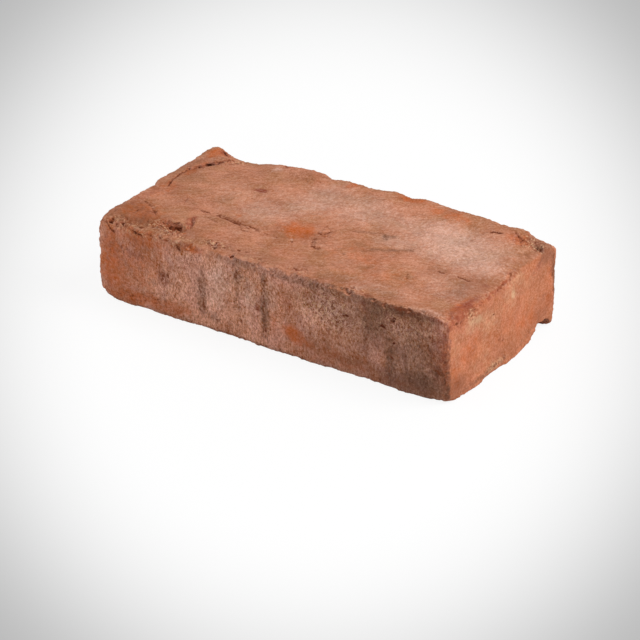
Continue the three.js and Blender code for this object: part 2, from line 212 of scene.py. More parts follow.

# Lines in the wet clay: face, width and depth in mm, how dark the painted shade in the line is, and
# its path.
# A negative depth is a ridge.
LINES = [
    # the fold's crack, and where it runs out at the front
    ("top", 0.6, 0.3, 0.9, [(-107.5, 20), (-105, 27), (-102, 32), (-97, 40), (-93, 46)]),
    ("top", 0.8, 0.3, 1.0, [(-103, 30), (-100, 35), (-97, 40)]),
    ("top", 0.8, 0.4, 1.3, [(-109, 18), (-106, 21), (-104, 25), (-103, 29)]),
    ("top", 0.7, 0.4, 1.0, [(-107, 20), (-108, 14), (-108, 5), (-106, -3), (-104, -8)]),
    ("top", 0.8, 0.4, 0.8, [(-107.5, 2), (-106, -3)]),
    ("top", 0.5, 0.3, 0.5, [(-104, 29), (-102, 25), (-102, 20)]),
    # the long crease of the struck top, and the curl that it ends in
    ("top", 1.3, 0.4, 0.7, [(-78, -20), (-70, -20), (-62, -21), (-54, -22)]),
    ("top", 1.8, 0.5, 0.85, [(-62, -19), (-54, -21), (-46, -23), (-39, -25)]),
    ("top", 1.5, -0.3, 0.0, [(-60, -24), (-50, -26.5), (-42, -29)]),
    ("top", 0.8, 0.3, 1.0, [(-54, -21.5), (-47, -23.8), (-39, -27)]),
    ("top", 0.8, 0.35, 0.85, [(-42, -24), (-36, -24), (-31, -24.5), (-27, -27)]),
    ("top", 0.8, 0.3, 0.85, [(-40, -27), (-36, -29.5), (-30, -29)]),
    ("top", 0.6, 0.3, 0.7, [(-38, -26), (-33, -27), (-28, -27)]),
    ("top", 0.9, 0.25, 0.45, [(-29, -27), (-22, -26), (-14, -26)]),
    # two faint creases near the back arris
    ("top", 0.9, 0.3, 0.4, [(-50, 45), (-44, 43), (-36, 40)]),
    ("top", 0.7, 0.25, 0.35, [(-44, 47), (-38, 45), (-33, 46)]),
    # the flap of clay dragged up beside the long crease, and the strokes round the torn pit
    ("top", 1.0, -0.4, 0.0, [(-104, -14), (-96, -11), (-89, -9), (-86, -12)]),
    ("top", 0.9, 0.4, 0.3, [(-87, -10), (-86, -14), (-84, -19)]),
    ("top", 1.5, 0.5, 0.4, [(-108, -27), (-101, -29), (-95, -33), (-89, -39)]),
    ("top", 0.8, 0.4, 0.6, [(-95, -33), (-91, -36), (-88, -40)]),
    ("top", 1.0, 0.35, 0.25, [(-108, -40), (-96, -45), (-84, -48)]),
    ("top", 0.7, 0.25, 0.45, [(-66, -24), (-56, -29), (-42, -33)]),
    ("top", 0.6, 0.2, 0.5, [(-84, -15), (-72, -18), (-60, -19)]),
    ("top", 0.7, 0.25, 0.2, [(-60, -38), (-46, -41), (-30, -42)]),
    ("top", 0.7, 0.2, 0.15, [(-40, -36), (-24, -38), (-6, -41)]),
    ("top", 0.6, 0.4, 0.6, [(-82, -44), (-77, -41), (-71, -41), (-66, -42)]),
    ("top", 0.6, 0.2, 0.1, [(-70, -30), (-67, -35), (-63, -44)]),
    ("top", 0.6, 0.2, 0.1, [(-68, -35), (-68, -39), (-63, -42)]),
    # a finger's print: arcs beside the burnt patch
    ("top", 0.9, 0.35, 0.5, [(-6, -5), (0, -1.5), (5, -4)]),
    ("top", 1.2, 0.45, 0.85, [(5, -3), (5.5, -7), (3, -10), (-1, -10)]),
    ("top", 0.7, -0.35, 0.0, [(-2, -4), (2, -4), (2, -8), (-1, -8)]),
    ("top", 0.7, -0.3, 0.0, [(4, 0), (9, -3), (8, -9), (3, -12)]),
    ("top", 0.9, 0.3, 0.45, [(3, -13), (9, -10.5)]),
    ("top", 1.4, 0.45, 0.75, [(2, -14), (2.5, -20), (6, -25), (11, -26)]),
    ("top", 1.7, 0.3, 0.75, [(6, -24), (10, -25), (12, -22)]),
    ("top", 0.8, -0.35, 0.0, [(7, -15), (5, -19), (8, -22)]),
    # short slits and scores
    ("top", 0.7, 0.5, 1.2, [(77, 43), (80, 45), (85, 46)]),
    ("top", 0.6, 0.4, 1.1, [(89, -11), (94, -11), (99, -11)]),
    ("top", 0.7, 0.4, 0.9, [(77, -11), (80, -12), (83, -12)]),
    ("top", 1.0, 0.35, 0.5, [(65, -22), (67, -25), (70, -29)]),
    ("top", 0.9, 0.4, 0.7, [(103, 34), (107, 32), (110, 31)]),
    ("top", 0.8, 0.4, 0.7, [(110, 11), (112, 8), (113, 5)]),
    ("top", 0.6, 0.3, 0.6, [(99, 14), (103, 13)]),
    ("top", 0.7, 0.4, 0.7, [(10, -50), (14, -52), (17, -50), (21, -51)]),
    ("top", 0.7, 0.4, 0.5, [(92, 50), (97, 44), (101, 39)]),
    ("top", 0.8, 0.4, 0.6, [(88, 51), (94, 48), (99, 46)]),
    # cracks and drags of the front face
    ("front", 0.7, 0.5, 0.9, [(-113, 47), (-107, 45), (-102, 42)]),
    ("front", 0.6, 0.3, 0.6, [(-100, 37), (-98, 34), (-98, 30)]),
    ("front", 0.6, 0.3, 0.5, [(-96, 44), (-97, 41), (-96, 38)]),
    ("front", 0.6, 0.3, 0.9, [(-94, 46.8), (-89, 46), (-84, 45.6)]),
    ("front", 0.9, 0.4, 0.7, [(-61, 48), (-59, 45), (-57, 44)]),
    ("front", 1.1, 0.4, 0.5, [(-3, 44), (-2.5, 36), (-3, 24), (-2, 10)]),
    ("front", 1.2, 0.3, 0.4, [(-22, 44), (-21, 38), (-20, 30), (-19, 20)]),
    ("front", 1.4, 0.25, 0.4, [(-46, 38), (-45, 26), (-43, 14), (-42, 8)]),
    ("front", 1.2, 0.25, 0.35, [(-71, 38), (-71, 28), (-70, 16)]),
    ("front", 1.0, 0.3, 0.45, [(63, 48), (64, 38), (63, 26), (62, 14)]),
    ("front", 1.2, 0.3, 0.45, [(78, 30), (78, 18), (76, 3)]),
    ("front", 0.6, 0.2, 0.7, [(-108, 5), (-94, 6), (-80, 9), (-66, 9)]),
    ("front", 0.6, 0.2, 0.6, [(-94, 4), (-80, 6), (-62, 7)]),
    ("front", 0.5, 0.2, 0.5, [(-86, 10), (-74, 13), (-60, 15)]),
    ("front", 0.6, -0.3, 0.0, [(43, 31), (46, 28), (50, 29), (53, 32)]),
    ("front", 0.6, 0.3, 1.1, [(47, 35), (50, 36.5), (52, 36)]),
    ("front", 1.0, 0.2, 0.8, [(60, 49), (72, 49.5), (84, 49.5), (94, 49)]),
    # the right end
    ("right", 0.7, 0.3, 0.5, [(-56, 47), (-48, 45), (-41, 46)]),
    ("right", 0.7, 0.3, 0.5, [(-24, 49), (-6, 47), (8, 49)]),
    ("right", 0.5, 0.2, 0.3, [(12, 36), (15, 35), (18, 33)]),
    ("right", 0.5, 0.2, 0.4, [(9, 29), (10, 27)]),
    # the back and the left end, which came out of the mould like the front
    ("back", 1.1, 0.35, 0.5, [(-60, 44), (-59, 34), (-60, 20)]),
    ("back", 1.2, 0.3, 0.45, [(20, 46), (21, 36), (19, 22)]),
    ("back", 0.6, 0.3, 0.7, [(58, 10), (72, 8), (90, 9)]),
    ("back", 0.6, 0.3, 0.8, [(-100, 40), (-92, 38), (-85, 39)]),
    ("left", 1.1, 0.3, 0.45, [(-20, 42), (-19, 30), (-20, 18)]),
    ("left", 0.6, 0.3, 0.8, [(20, 43), (28, 41), (36, 43)]),
]

# Holes and chips: face, centre, radii in mm, turn in degrees, depth in mm, and how dark the painted
# shade in them is.
HOLES = [
    ("top", (-75, -43), (4, 1.5), 5, 0.4, 0.9),
    ("top", (-73, -41), (3, 1), 5, 0.2, 1.3),
    ("top", (-71, -42.5), (1.8, 1), -10, 0.4, 0.8),
    ("top", (-80, -46), (1.6, 1), 0, 0.4, 0.6),
    ("top", (-108.5, -54), (1.6, 1.3), 0, 0.8, 1.4),
    ("top", (-100, -54), (1.4, 1.1), 0, 0.5, 1.1),
    ("top", (-101, -50), (2.6, 1), -40, 0.4, 0.6),
    ("top", (-88, -54), (2, 1.4), 0, 0.5, 0.8),
    ("top", (-56, 17), (2.8, 2), 10, 0.25, 0.1),
    ("top", (-45, -49), (2, 1.2), 20, 0.6, 0.9),
    ("top", (-40, -47.5), (1.6, 1), 0, 0.5, 0.9),
    ("top", (-20, -48.5), (1.4, 1), 0, 0.4, 0.8),
    ("top", (-25, -49), (1.6, 1.2), 0, 0.5, 0.8),
    ("top", (-10, -52), (1.6, 1), 0, 0.4, 0.6),
    ("top", (-7, -26), (1.4, 1), 0, 0.4, 0.6),
    ("top", (-62, 52), (2.4, 1), -30, 0.4, 0.7),
    ("top", (-103, 48.3), (2.8, 1), -25, 0.6, 1.3),
    ("top", (-93, 49), (2, 0.9), -20, 0.4, 1.0),
    ("top", (34, 6.5), (3, 1.6), -57, 0.25, 0.25),
    ("top", (109.5, 43.5), (5, 2), -30, 0.3, 0.4),
    ("top", (50, -53), (2, 1), 0, 0.4, 0.5),
    ("top", (60, -54), (2, 1), 0, 0.3, 0.5),
    ("front", (-98, 47.5), (1, 0.8), 0, 0.4, 0.9),
    ("front", (-90, 46.5), (1.8, 0.9), -8, 0.5, 1.4),
    ("front", (-85, 46), (1.1, 0.7), 0, 0.4, 0.9),
    ("front", (-79, 47.5), (1, 0.7), 0, 0.4, 0.8),
    ("front", (-59, 46), (1.8, 1.6), 0, 0.5, 0.9),
    ("front", (80, 43), (1.2, 1.1), 0, 0.6, 1.5),
    ("front", (73, 36), (1.6, 1.1), 0, 0.5, 1.5),
    ("front", (80, 28.5), (1, 1), 0, 0.3, 1.2),
    ("front", (-71, 24), (1.4, 3), -20, 0.3, 0.6),
    ("front", (-67, 26), (1, 2), 20, 0.3, 0.6),
    ("front", (-43, 14), (1.6, 3), 0, 0.3, 0.6),
    ("front", (-35, 8), (1.8, 1.4), 0, 0.3, 0.6),
    ("front", (-22, 40), (1.4, 2), 0, 0.3, 0.7),
    ("front", (-18, 13), (1.6, 2), 0, 0.3, 0.6),
    ("front", (-7, 24), (1.8, 1.4), 0, 0.3, 0.6),
    ("front", (-2, 12), (1.2, 2), 0, 0.4, 0.8),
    ("front", (-2, 42), (1.2, 1.6), 0, 0.4, 0.8),
    ("front", (79, 19), (1.4, 1.6), 0, 0.3, 0.7),
    ("front", (108, 19), (2.4, 2), 0, 0.3, 0.6),
    ("right", (-13, 35), (1.1, 0.9), 0, 0.4, 0.8),
    ("right", (-3, 15), (1.2, 0.8), 0, 0.3, 0.7),
    ("right", (-6, 17), (1, 0.8), 0, 0.3, 0.6),
    ("right", (8, 38), (1.4, 1.8), 20, 0.15, 0.0),
    ("right", (40, 6), (5, 1.4), -20, 0.5, 1.0),
    ("right", (51.6, 43), (1, 1.4), 0, 0.3, 0.6),
    ("right", (50.3, 32), (0.8, 2.2), 15, 0.3, 0.6),
    ("right", (51.2, 22), (1.5, 1), -25, 0.3, 0.6),
    ("right", (-49.5, 45), (1.2, 1.8), 20, 0.3, 0.6),
    ("right", (-26, 47.5), (2.4, 0.8), 0, 0.3, 0.3),
    ("back", (-30, 31), (1.8, 1.4), 0, 0.5, 0.9),
    ("back", (44, 38), (1.4, 1.1), 0, 0.5, 1.1),
    ("back", (81, 21), (1.6, 2), 0, 0.4, 0.7),
    ("left", (26, 20), (1.6, 1.2), 0, 0.5, 0.9),
]

# Patches: kind, face, centre, radii in mm, turn in degrees, strength. Torn clay shapes the mesh,
# crumbs shape and colour it, one kind thins out the painted shade in the hollows, one is painted
# shade, and the other kinds are colours, with painted shade among the soot and the red and a painted
# highlight among the bloom.
PATCHES = [
    # the burnt, richer orange clay
    ("burnt", "top", (-9, -14), (8, 7), 0, 1.0),
    ("burnt", "top", (-11, -13), (15, 11), 0, 0.5),
    ("burnt", "top", (-107, 44), (5, 7), 0, 0.9),
    ("burnt", "top", (-105, 17), (3, 5), 0, 0.8),
    ("burnt", "top", (-104, -8), (5, 10), 0, 0.3),
    ("burnt", "top", (-98, -42), (16, 14), -20, 0.6),
    ("burnt", "top", (-76, -46), (18, 9), 0, 0.4),
    ("burnt", "top", (-104, -10), (6, 20), 0, 0.25),
    ("burnt", "top", (-48, -14), (3, 5), 0, 0.4),
    ("burnt", "top", (24, 53), (12, 4), 0, 0.8),
    ("burnt", "top", (50, 48), (16, 5), 0, 0.6),
    ("burnt", "top", (96, 44), (9, 7), -20, 0.5),
    ("burnt", "top", (-17, 52), (4, 4), 0, 0.7),
    ("burnt", "top", (30, -18), (22, 10), 0, 0.3),
    ("burnt", "top", (55, -30), (20, 12), 0, 0.25),
    ("burnt", "top", (-72, -47), (8, 4), 8, 0.6),
    ("burnt", "top", (-67.5, -49.5), (7, 2), 8, 1.0),
    ("burnt", "top", (108, -38), (4, 14), 0, 0.6),
    ("burnt", "front", (-50, 47.5), (9, 2), 0, 0.9),
    ("burnt", "front", (-107, 26), (8, 22), 0, 0.7),
    ("burnt", "front", (-96, 20), (20, 18), 0, 0.55),
    ("burnt", "front", (-88, 45), (28, 5), 0, 0.6),
    ("burnt", "front", (-76, 36), (18, 12), 0, 0.3),
    ("burnt", "front", (-80, 6), (30, 5), 0, 0.3),
    ("burnt", "front", (-84, 6), (26, 4), 2, 0.55),
    ("burnt", "front", (-60, 8), (10, 5), 0, 0.35),
    ("burnt", "front", (16, 15), (8, 5.5), -14, 1.0),
    ("burnt", "front", (24, 12), (7, 4), -10, 0.6),
    ("burnt", "front", (42, 11), (8, 4), 0, 0.45),
    ("burnt", "front", (59, 11), (5, 4), 0, 0.35),
    ("burnt", "front", (88, 5), (20, 3), 0, 0.35),
    ("burnt", "front", (42, 6), (28, 4), 0, 0.35),
    ("burnt", "front", (4, 17), (3, 6), 0, 0.4),
    ("burnt", "front", (112, 24), (3, 26), 0, 0.6),
    ("burnt", "right", (-38, 24), (12, 9), 0, 0.45),
    ("burnt", "right", (-16, 20), (8, 8), 0, 0.25),
    ("burnt", "right", (8, 18), (16, 9), 0, 0.3),
    ("burnt", "right", (28, 16), (14, 9), 0, 0.45),
    ("burnt", "right", (-51, 12), (5, 12), 0, 0.45),
    ("burnt", "right", (47, 24), (4, 16), 0, 0.45),
    ("burnt", "back", (-95, 14), (14, 10), 0, 0.6),
    ("burnt", "back", (60, 8), (24, 6), 0, 0.5),
    ("burnt", "left", (46, 20), (9, 16), 0, 0.5),
    # dark red, over-fired clay, and part of the painted shade under the front's top arris at the right
    ("red", "top", (-56, 17), (3.8, 2.6), 10, 1.3),
    ("red", "top", (110, -36), (4, 16), 0, 0.85),
    ("red", "top", (108, -10), (4, 4), 0, 0.4),
    ("red", "top", (95, 45), (6, 5), -30, 0.65),
    ("red", "top", (-103, 48), (4, 2.4), -20, 0.8),
    ("red", "top", (-68, -34), (2.6, 6), 10, 0.9),
    ("red", "top", (112, 10), (3, 6), 0, 0.6),
    ("red", "top", (-60, 51), (5, 3), -20, 0.5),
    ("red", "top", (-102, 47), (4, 3), 0, 0.6),
    ("red", "top", (-98, -36), (12, 8), -30, 0.35),
    ("red", "top", (-109, -20), (4, 16), 0, 0.4),
    ("red", "top", (15, -51), (6, 3), 0, 0.5),
    ("red", "top", (60, -54), (5, 2), 0, 0.5),
    ("red", "right", (-49, 46), (9, 5), -8, 0.5),
    ("red", "right", (-20, 48), (40, 2.4), 0, 0.6),
    ("red", "right", (-57, 24), (3, 26), 0, 0.3),
    ("red", "right", (36, 44), (7, 4), 0, 0.4),
    ("red", "right", (49, 38), (2.4, 8), 0, 0.5),
    ("red", "right", (-34, 20), (8, 6), 0, 0.25),
    ("red", "front", (108, 30), (8, 24), 0, 0.7),
    ("red", "front", (61, 45), (2.4, 4), 0, 0.9),
    # painted shade: the dark band under the top arris
    ("red", "front", (92, 49), (18, 2), 0, 0.8),
    ("red", "front", (-96, 34), (22, 14), 0, 0.4),
    ("red", "front", (-52, 47.5), (10, 2.6), 0, 0.45),
    ("red", "front", (12, 32), (4, 4), 0, 0.6),
    ("red", "front", (-70, 25), (5, 6), 0, 0.6),
    ("red", "front", (-7, 24), (3, 3), 0, 0.7),
    ("red", "front", (28, 36), (8, 8), 0, 0.35),
    ("red", "front", (72, 30), (10, 8), 0, 0.3),
    ("red", "back", (44, 38), (4, 4), 0, 0.6),
    ("red", "left", (-46, 30), (6, 18), 0, 0.4),
    # soot and grey ash, and painted shade: the dark bands under the top arrises and along the bottom
    # edges
    ("soot_and_shade", "front", (56, 37), (10, 8), 0, 0.4),
    # painted shade: the band under the top arris
    ("soot_and_shade", "front", (84, 48.5), (24, 2.4), 0, 0.6),
    ("soot_and_shade", "front", (69, 44), (5, 5), 0, 0.6),
    ("soot_and_shade", "front", (69, 37), (8, 10), 0, 0.75),
    ("soot_and_shade", "front", (22, 48), (18, 3), 0, 0.5),
    ("soot_and_shade", "front", (-2, 24), (3.5, 18), 0, 0.85),
    ("soot_and_shade", "front", (-3, 43), (3, 4), 0, 0.6),
    ("soot_and_shade", "front", (-44, 22), (4.5, 16), 0, 0.75),
    ("soot_and_shade", "front", (-36, 9), (4, 4), 0, 0.6),
    ("soot_and_shade", "front", (-20, 26), (3.5, 18), 0, 0.5),
    ("soot_and_shade", "front", (-21, 39), (4, 5), 0, 0.6),
    ("soot_and_shade", "front", (-70, 26), (5, 8), 0, 0.5),
    ("soot_and_shade", "front", (-62, 43), (16, 5), 3, 0.15),
    ("soot_and_shade", "front", (78, 18), (4, 16), 0, 0.7),
    ("soot_and_shade", "front", (63, 30), (3, 18), 0, 0.5),
    ("soot_and_shade", "front", (98, 12), (14, 7), 0, 0.6),
    ("soot_and_shade", "front", (100, 34), (14, 16), 0, 0.45),
    ("soot_and_shade", "front", (108, 19), (5, 4), 0, 0.6),
    ("soot_and_shade", "front", (86, 30), (16, 16), 0, 0.45),
    ("soot_and_shade", "front", (98, 26), (12, 22), 0, 0.3),
    ("soot_and_shade", "front", (-10, 48), (30, 3), 0, 0.25),
    # a painted shadow line along the bottom edge
    ("soot_and_shade", "front", (-20, 1), (90, 2), 0, 0.5),
    ("soot_and_shade", "front", (36, 42), (16, 8), 0, 0.25),
    ("soot_and_shade", "top", (22, 5.5), (11, 2), 27, 0.55),
    ("soot_and_shade", "top", (33.5, 6.5), (4.4, 2.2), -57, 0.7),
    ("soot_and_shade", "top", (36.5, 9), (4, 1.8), 25, 0.6),
    ("soot_and_shade", "top", (43.5, -6.5), (16, 2.4), 31, 0.6),
    ("soot_and_shade", "top", (53, -1), (6, 2), 31, 0.3),
    ("soot_and_shade", "top", (28, -37), (2, 1.4), 0, 0.5),
    ("soot_and_shade", "top", (26, -23.5), (1.8, 1.3), 0, 0.6),
    ("soot_and_shade", "top", (8, -20), (5, 6), 0, 0.3),
    ("soot_and_shade", "top", (-20, -52), (26, 3), 0, 0.35),
    ("soot_and_shade", "top", (60, -56), (56, 1.6), 0, 0.35),
    ("soot_and_shade", "top", (-100, -52), (14, 4), 0, 0.4),
    ("soot_and_shade", "top", (-50, 45), (9, 3), -10, 0.3),
    ("soot_and_shade", "top", (109, 43.5), (6, 2.6), -30, 0.9),
    ("soot_and_shade", "right", (-14, 35), (3, 3), 0, 0.35),
    ("soot_and_shade", "right", (-26, 4), (26, 1.8), 0, 0.6),
    ("soot_and_shade", "right", (20, 7), (20, 2), 8, 0.35),
    ("soot_and_shade", "right", (-57, 16), (2.4, 24), 0, 0.5),
    ("soot_and_shade", "back", (-60, 30), (5, 15), 0, 0.6),
    ("soot_and_shade", "back", (20, 34), (5, 13), 0, 0.55),
    ("soot_and_shade", "back", (0, 47), (70, 3), 0, 0.4),
    ("soot_and_shade", "left", (-20, 28), (5, 13), 0, 0.5),
    # pale bloom of lime and dust, and one painted highlight along the top's front arris at the right
    ("bloom_and_highlight", "top", (80, 14), (28, 20), -12, 0.7),
    ("bloom_and_highlight", "top", (52, 26), (26, 16), 0, 0.55),
    ("bloom_and_highlight", "top", (92, -26), (18, 14), -20, 0.35),
    ("bloom_and_highlight", "top", (40, 4), (13, 8), 0, 0.5),
    ("bloom_and_highlight", "top", (-24, 24), (12, 30), -3, 0.5),
    ("bloom_and_highlight", "top", (-14, 26), (6, 24), 0, 0.25),
    ("bloom_and_highlight", "top", (8, 26), (22, 18), 0, 0.5),
    ("bloom_and_highlight", "top", (-65, 46), (3, 4), 0, 0.6),
    ("bloom_and_highlight", "top", (-56, 4), (28, 20), 0, 0.25),
    ("bloom_and_highlight", "top", (-40, -8), (12, 14), 0, 0.4),
    ("bloom_and_highlight", "top", (60, 36), (14, 9), 0, 0.25),
    ("bloom_and_highlight", "top", (88, 34), (20, 10), 0, 0.25),
    ("bloom_and_highlight", "top", (60, 3), (13, 8), 0, 0.25),
    ("bloom_and_highlight", "top", (99, 4), (10, 9), 0, 0.25),
    ("bloom_and_highlight", "top", (0, 39), (13, 8), 0, 0.25),
    ("bloom_and_highlight", "top", (-8, -24), (1.4, 1), 0, 1.0),
    ("bloom_and_highlight", "top", (-74, -51), (9, 1.4), 0, 0.5),
    ("bloom_and_highlight", "top", (-41, -51), (4, 1.4), 0, 0.2),
    ("bloom_and_highlight", "top", (60, -46), (30, 6), 0, 0.3),
    # a painted highlight on the arris
    ("bloom_and_highlight", "top", (98, -55), (12, 2.4), 0, 0.5),
    ("bloom_and_highlight", "top", (52, -52), (4, 2), 0, 0.4),
    ("bloom_and_highlight", "front", (-33, 30), (9, 18), 0, 0.6),
    ("bloom_and_highlight", "front", (3, 34), (6, 12), 0, 0.45),
    ("bloom_and_highlight", "front", (-58, 30), (20, 14), 0, 0.3),
    ("bloom_and_highlight", "front", (40, 34), (18, 12), 0, 0.35),
    ("bloom_and_highlight", "front", (-12, 30), (6, 12), 0, 0.55),
    ("bloom_and_highlight", "right", (-37, 46), (3.4, 4), -20, 0.6),
    ("bloom_and_highlight", "right", (-31, 40), (9, 3), -10, 0.7),
    ("bloom_and_highlight", "right", (8.5, 38), (2, 3), 20, 1.0),
    ("bloom_and_highlight", "right", (-50, 32), (5, 11), 0, 0.25),
    ("bloom_and_highlight", "right", (-16, 33), (12, 7), -20, 0.4),
    ("bloom_and_highlight", "right", (4, 38), (12, 7), -25, 0.35),
    ("bloom_and_highlight", "right", (22, 40), (14, 5), -10, 0.25),
    ("bloom_and_highlight", "right", (12, 46), (9, 4), 0, 0.4),
    ("bloom_and_highlight", "right", (-34, 37), (9, 5), 0, 0.4),
    ("bloom_and_highlight", "right", (-24, 12), (14, 5), 0, 0.2),
    ("bloom_and_highlight", "right", (-12, 5), (9, 2.4), 0, 0.7),
    ("bloom_and_highlight", "right", (-20, 22), (4, 12), 0, 0.2),
    ("bloom_and_highlight", "left", (0, 26), (30, 14), 0, 0.4),
    ("bloom_and_highlight", "back", (30, 24), (50, 14), 0, 0.4),
    # painted shade: plain darker patches over the right of the front, along the arrises and edges, and
    # round the torn clay
    ("painted_shade", "top", (-102, -44), (18, 16), -20, 0.35),
    ("painted_shade", "top", (-78, -46), (20, 8), 0, 0.35),
    ("painted_shade", "top", (-104, 20), (12, 34), 0, 0.3),
    ("painted_shade", "top", (0, -50), (110, 7), 0, 0.25),
    ("painted_shade", "top", (101, -14), (12, 16), 0, 0.4),
    ("painted_shade", "top", (60, -44), (12, 8), 0, 0.2),
    ("painted_shade", "top", (2, -16), (11, 9), 0, 0.35),
    ("painted_shade", "top", (40, -31), (12, 7), 0, 0.25),
    ("painted_shade", "top", (101, -31), (9, 8), 0, 0.3),
    ("painted_shade", "top", (108, 49), (14, 5), -15, 0.45),
    ("painted_shade", "top", (80, -14), (11, 8), 0, 0.3),
    ("painted_shade", "top", (-82, -16), (12, 9), 0, 0.2),
    ("painted_shade", "front", (98, 6), (26, 9), 0, 0.6),
    ("painted_shade", "front", (100, 16), (22, 14), 0, 0.3),
    ("painted_shade", "front", (78, 48), (34, 5), 0, 0.5),
    ("painted_shade", "front", (46, 40), (22, 10), 0, 0.35),
    ("painted_shade", "front", (30, 14), (30, 8), 0, 0.25),
    ("painted_shade", "front", (60, 5), (40, 8), 0, 0.3),
    ("painted_shade", "front", (72, 26), (46, 26), 0, 0.3),
    ("painted_shade", "front", (-98, 22), (12, 14), 0, 0.15),
    ("painted_shade", "front", (10, 49), (62, 3.5), 0, 0.35),
    ("painted_shade", "front", (-62, 48), (14, 3), 0, 0.25),
    ("painted_shade", "front", (-20, 47), (12, 4), 0, 0.35),
    ("painted_shade", "front", (20, 40), (11, 6), 0, 0.3),
    ("painted_shade", "front", (82, 44), (16, 6), 0, 0.25),
    ("painted_shade", "front", (72, 27), (24, 10), 0, 0.25),
    ("painted_shade", "right", (52.5, 30), (2.2, 14), 4, 0.7),
    ("painted_shade", "right", (-50, 7), (10, 9), 0, 0.45),
    ("painted_shade", "right", (44, 46), (10, 6), 0, 0.5),
    ("painted_shade", "right", (42, 14), (10, 12), 0, 0.3),
    ("painted_shade", "right", (-4, 12), (52, 7), 0, 0.25),
    ("painted_shade", "back", (-80, 38), (28, 14), 0, 0.35),
    ("painted_shade", "left", (30, 38), (22, 12), 0, 0.3),
    # crumbled clay
    ("crumbs", "top", (-76, -46), (12, 7), 0, 1.0),
    ("crumbs", "top", (-78, -50), (8, 2.4), 0, 1.0),
    ("crumbs", "top", (-40, -50.5), (9, 3.4), 0, 1.4),
    ("crumbs", "top", (-100, -53), (14, 4), 0, 0.8),
    ("crumbs", "top", (16, -52), (8, 3), 0, 0.8),
    ("crumbs", "top", (54, -53), (8, 2), 0, 0.6),
    ("crumbs", "top", (104, 46), (11, 6), -25, 1.3),
    ("crumbs", "top", (-93, 43), (9, 4), 40, 1.0),
    ("crumbs", "top", (-69, -53), (9, 2.8), 0, 1.5),
    ("crumbs", "front", (-66, 48.5), (9, 2), 0, 1.0),
    ("crumbs", "top", (-58, -54), (20, 2), 0, 0.6),
    ("crumbs", "top", (-10, -54), (20, 2), 0, 0.5),
    ("crumbs", "right", (-36, 46), (7, 4), -20, 1.0),
    ("crumbs", "right", (-12, 5), (12, 3), 0, 0.9),
    ("crumbs", "front", (-90, 47), (16, 2.4), 0, 0.8),
    # torn, lumpy clay
    ("torn", "top", (-102, -44), (16, 12), -20, 1.0),
    ("torn", "top", (-74, -44), (16, 9), 10, 1.0),
    ("torn", "top", (-40, -50), (20, 5), 0, 1.0),
    ("torn", "top", (0, -54), (24, 3), 0, 0.8),
    ("torn", "top", (50, -54), (30, 3), 0, 0.8),
    ("torn", "top", (104, 46), (12, 8), -25, 1.0),
    ("torn", "top", (-104, 30), (5, 24), -20, 0.6),
    ("torn", "front", (-60, 48), (50, 3), 0, 0.8),
    ("torn", "front", (-80, 7), (26, 4), 3, 0.6),
    ("torn", "right", (10, 47), (46, 4), 0, 0.8),
    ("torn", "right", (-20, 4), (34, 3), 0, 0.8),
    # where the painted shade in a deep place is thinned out
    ("less_shade", "top", (-67, -36), (5, 8), 0, 0.9),
    ("less_shade", "top", (-99, 37), (5, 5), 0, 0.7),
    # curled veins of sand
    ("veins", "front", (38, 36), (20, 13), 0, 1.0),
    ("veins", "front", (86, 40), (18, 9), 0, 0.5),
    ("veins", "front", (-16, 34), (18, 10), 0, 0.4),
    ("veins", "top", (70, 18), (36, 24), 0, 0.4),
    ("veins", "back", (-30, 26), (40, 16), 0, 0.6),
]

# The masks that the material reads. Those of the second line aren't patches but are worked out.
MASKS = (
    "burnt", "red", "soot_and_shade", "bloom_and_highlight", "painted_shade", "crumbs", "veins",
    "crevice_shade", "hollow_shade", "moulded", "fired",
)


